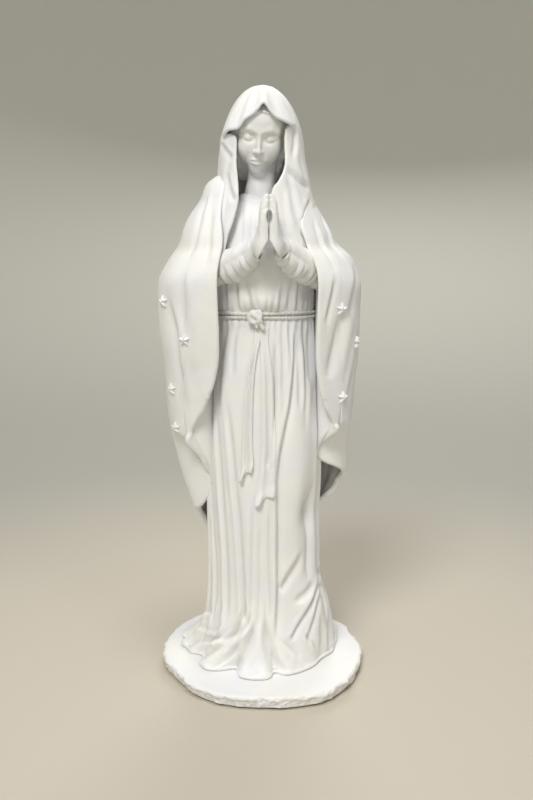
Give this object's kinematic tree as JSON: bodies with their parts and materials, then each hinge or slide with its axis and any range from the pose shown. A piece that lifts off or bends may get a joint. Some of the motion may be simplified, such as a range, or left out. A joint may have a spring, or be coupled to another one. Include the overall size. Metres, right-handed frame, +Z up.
{
  "type": "madonna statue",
  "caption": "Standing veiled woman in prayer on a rough round plinth, cast in white marble resin, with a long starred mantle and a knotted girdle.",
  "frame": {"origin": "middle of the plinth's flat underside", "axes": "+Z up, the figure faces -Y, +X towards the figure's own left"},
  "size_m": [0.214, 0.214, 0.6005],
  "materials": {
    "marble_resin": "matte",
    "felt": "matte",
    "plug_rubber": "matte"
  },
  "bodies": {
    "root": {"base_felt": "felt", "plinth": "marble_resin", "pour_plug": "plug_rubber", "gown": "marble_resin", "head": "marble_resin", "right_hand": "marble_resin", "right_sleeve": "marble_resin", "left_hand": "marble_resin", "left_sleeve": "marble_resin", "veil": "marble_resin", "girdle_cord_upper": "marble_resin", "girdle_cord_lower": "marble_resin", "girdle_knot": "marble_resin", "girdle_tail_short": "marble_resin", "girdle_tail_long": "marble_resin", "mantle": "marble_resin", "star_1": "marble_resin", "star_2": "marble_resin", "star_3": "marble_resin", "star_4": "marble_resin", "star_5": "marble_resin", "star_6": "marble_resin", "star_7": "marble_resin", "star_8": "marble_resin", "star_9": "marble_resin", "star_10": "marble_resin", "star_11": "marble_resin", "star_12": "marble_resin", "star_13": "marble_resin"}
  },
  "joints": []
}
